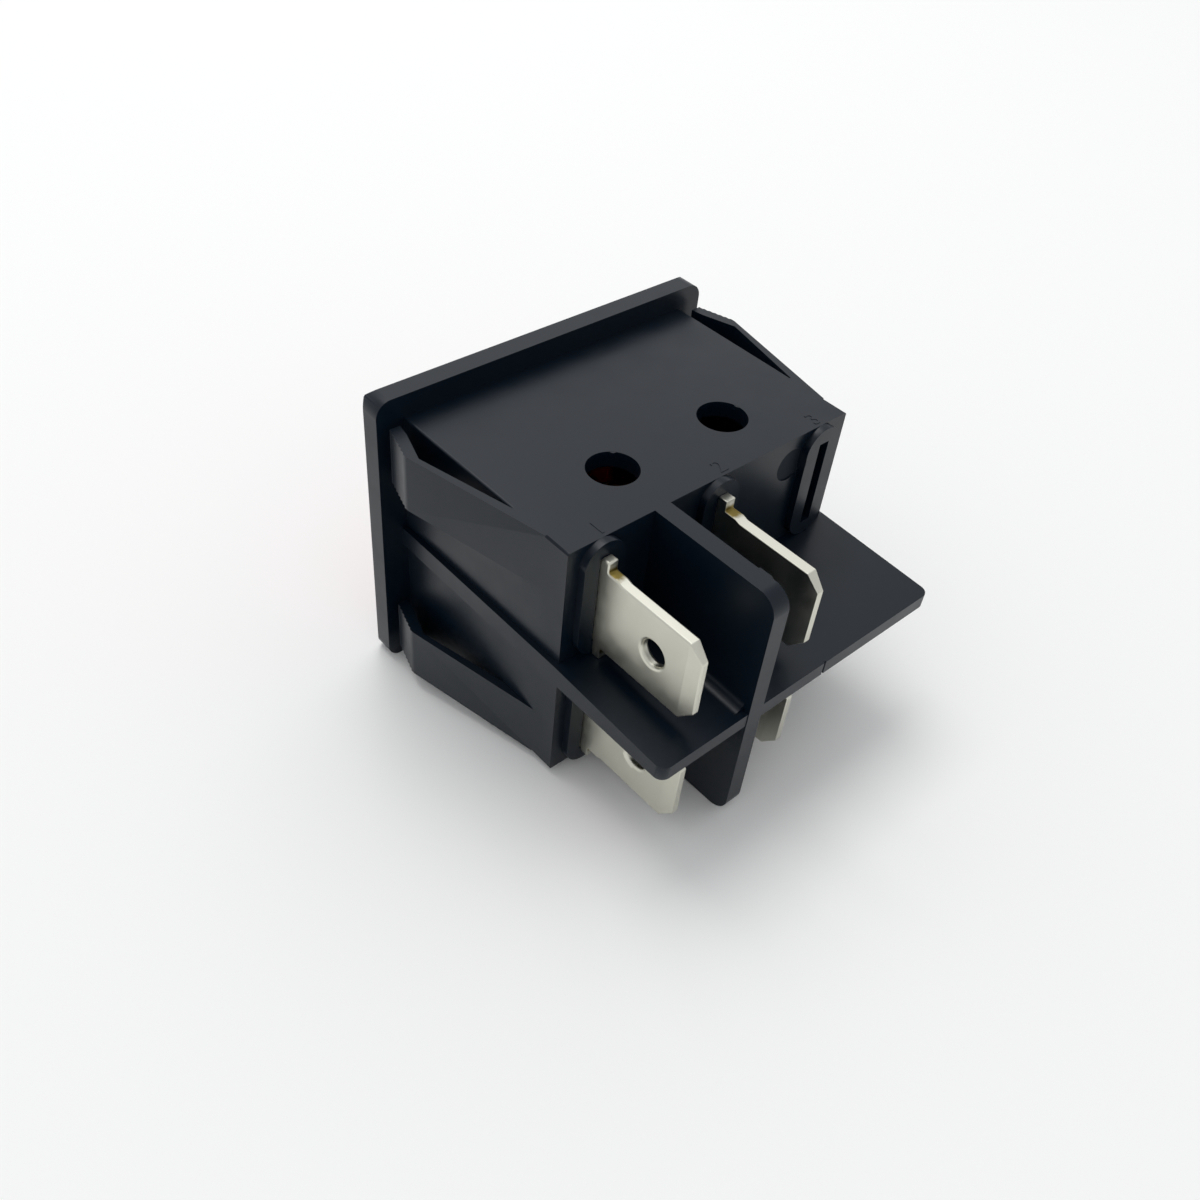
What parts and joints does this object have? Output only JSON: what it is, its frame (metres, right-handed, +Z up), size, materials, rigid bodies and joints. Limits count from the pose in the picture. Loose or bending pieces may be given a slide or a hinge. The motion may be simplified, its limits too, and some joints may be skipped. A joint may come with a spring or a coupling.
{
  "type": "panel rocker switch",
  "caption": "Snap-in rocker switch for a rectangular panel cut-out, with a lit rocker, sprung side clips and flat push-on tabs parted by barrier walls at the back.",
  "frame": {"origin": "centre of the bezel's seating face, which is the front face of the panel once the switch is fitted", "axes": "+X along the rocker towards the end that rests pressed in, +Y into the panel towards the tabs, +Z up across the switch's short side"},
  "size_m": [0.03, 0.0323, 0.0232],
  "materials": {
    "black_nylon": "satin moulded nylon",
    "red_polycarbonate": "translucent red, polished",
    "plated_brass": "tin plated",
    "silver_alloy": "bright silver",
    "copper_alloy": "bare copper alloy",
    "black_acetal": "smooth",
    "steel_wire": "drawn wire",
    "lamp_glass": "clear glass",
    "resistor_coat": "lacquer"
  },
  "bodies": {
    "case": {"housing": "black_nylon", "upper_contact_terminal": "plated_brass", "lower_contact_terminal": "plated_brass", "upper_common_terminal": "plated_brass", "lower_common_terminal": "plated_brass", "upper_fixed_contact": "silver_alloy", "lower_fixed_contact": "silver_alloy", "upper_lamp_spring": "steel_wire", "lower_lamp_spring": "steel_wire"},
    "rocker": {"rocker": "red_polycarbonate", "neon_lamp": "lamp_glass", "lamp_lead": "steel_wire", "link_lead": "steel_wire", "ballast_resistor": "resistor_coat", "resistor_lead": "steel_wire", "upper_plunger_spring": "steel_wire", "lower_plunger_spring": "steel_wire"},
    "upper_lever": {"upper_contact_lever": "copper_alloy", "upper_moving_contact": "silver_alloy"},
    "lower_lever": {"lower_contact_lever": "copper_alloy", "lower_moving_contact": "silver_alloy"},
    "upper_plunger": {"upper_plunger": "black_acetal"},
    "lower_plunger": {"lower_plunger": "black_acetal"}
  },
  "joints": [
    {"name": "rocker_tilt", "type": "hinge", "parent": "case", "child": "rocker", "pos_m": [0, 0.002, 0], "axis": [0, 0, -1], "range_deg": [0, 20], "deforming": ["upper_lamp_spring", "lower_lamp_spring"]},
    {"name": "upper_lever_rock", "type": "hinge", "parent": "case", "child": "upper_lever", "pos_m": [0, 0.01133, 0.00489], "axis": [0, 0, 1], "range_deg": [0, 16]},
    {"name": "lower_lever_rock", "type": "hinge", "parent": "case", "child": "lower_lever", "pos_m": [0, 0.01133, -0.00489], "axis": [0, 0, 1], "range_deg": [0, 16]},
    {"name": "upper_plunger_slide", "type": "slide", "parent": "rocker", "child": "upper_plunger", "axis": [0.1736, -0.9848, 0], "range_m": [0, 0.0005], "stiffness_N_per_m": 500, "springref_m": -0.002, "deforming": ["upper_plunger_spring"]},
    {"name": "lower_plunger_slide", "type": "slide", "parent": "rocker", "child": "lower_plunger", "axis": [0.1736, -0.9848, 0], "range_m": [0, 0.0005], "stiffness_N_per_m": 500, "springref_m": -0.002, "deforming": ["lower_plunger_spring"]}
  ],
  "couplings": [
    {"joint": "upper_lever_rock", "follows": "rocker_tilt", "ratio": 0.8},
    {"joint": "lower_lever_rock", "follows": "rocker_tilt", "ratio": 0.8}
  ]
}
